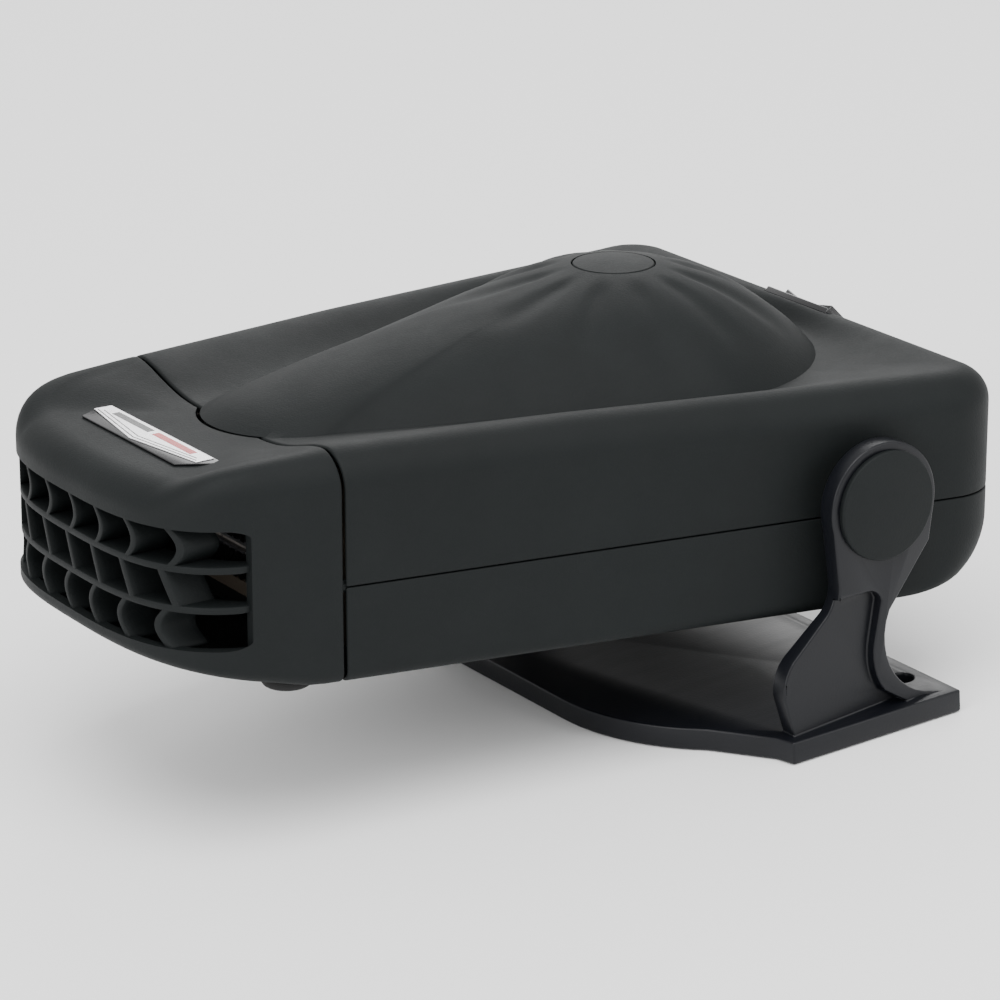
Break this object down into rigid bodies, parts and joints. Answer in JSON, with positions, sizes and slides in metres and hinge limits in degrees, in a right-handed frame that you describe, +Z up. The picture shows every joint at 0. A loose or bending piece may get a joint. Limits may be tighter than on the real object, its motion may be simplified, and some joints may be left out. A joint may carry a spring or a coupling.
{
  "type": "vehicle heater defroster",
  "caption": "Compact vehicle cabin heater and defroster with a teardrop dome, a curved grille outlet and a tilting yoke bracket.",
  "frame": {"origin": "underside of the bracket's base plate, straight below the tilt axis and on the middle plane", "axes": "+Z up from the mounting surface, +X to the rear of the heater, away from the outlet, and +Y across, along the tilt axis"},
  "size_m": [0.191, 0.146, 0.0891],
  "materials": {
    "bracket_plastic": "satin black moulded plastic",
    "housing_plastic": "fine matte texture, near black",
    "gloss_black": "glossy black",
    "silver_foil": "bright printed foil, no lettering",
    "foot_rubber": "soft black rubber",
    "insert_brass": "turned brass",
    "screw_steel": "zinc plated",
    "black_steel": "black zinc",
    "washer_nylon": "black nylon",
    "inner_plastic": "heat resistant black plastic",
    "motor_steel": "plated can",
    "core_resin": "brown heat resistant resin",
    "ceramic": "fired heater ceramic, grey",
    "core_aluminium": "dark coated aluminium strip",
    "tag_metal": "tinned",
    "wire_red": "insulated wire",
    "wire_yellow": "insulated wire",
    "wire_black": "insulated wire"
  },
  "bodies": {
    "bracket": {"yoke_bracket": "bracket_plastic", "pivot_caps": "bracket_plastic"},
    "heater": {"upper_shell": "housing_plastic", "dome_disc": "housing_plastic", "lower_shell": "housing_plastic", "nose_cap": "housing_plastic", "outlet_grille": "housing_plastic", "badge_plate": "gloss_black", "badge_inlay": "silver_foil", "front_feet": "foot_rubber", "intake_guard": "housing_plastic", "pivot_inserts": "insert_brass", "pivot_screws": "screw_steel", "friction_washers": "washer_nylon", "switch_bezel": "gloss_black", "switch_body": "inner_plastic", "switch_terminals": "tag_metal", "motor_plate": "inner_plastic", "fan_motor": "motor_steel", "motor_screws": "screw_steel", "fan_scroll": "inner_plastic", "core_frame": "core_resin", "ptc_stones": "ceramic", "electrode_plates": "core_aluminium", "fin_packs": "core_aluminium", "thermal_cutout": "tag_metal", "cable_gland": "foot_rubber", "housing_screws": "black_steel", "wire_supply": "wire_red", "wire_motor": "wire_yellow", "wire_core": "wire_black"},
    "rocker": {"rocker": "gloss_black"},
    "fan": {"fan_wheel": "inner_plastic", "fan_shaft": "screw_steel"}
  },
  "joints": [
    {"name": "tilt", "type": "hinge", "parent": "bracket", "child": "heater", "pos_m": [0, 0, 0.0495], "axis": [0, 1, 0], "range_deg": [-16, 22]},
    {"name": "rocker_tip", "type": "hinge", "parent": "heater", "child": "rocker", "pos_m": [0.03441, 0, 0.06493], "axis": [0.6626, 0, -0.749], "range_deg": [-9, 9]},
    {"name": "fan_spin", "type": "hinge", "parent": "heater", "child": "fan", "pos_m": [-0.02396, 0, 0.05097], "axis": [0.061, 0, 0.9981], "continuous": true}
  ]
}
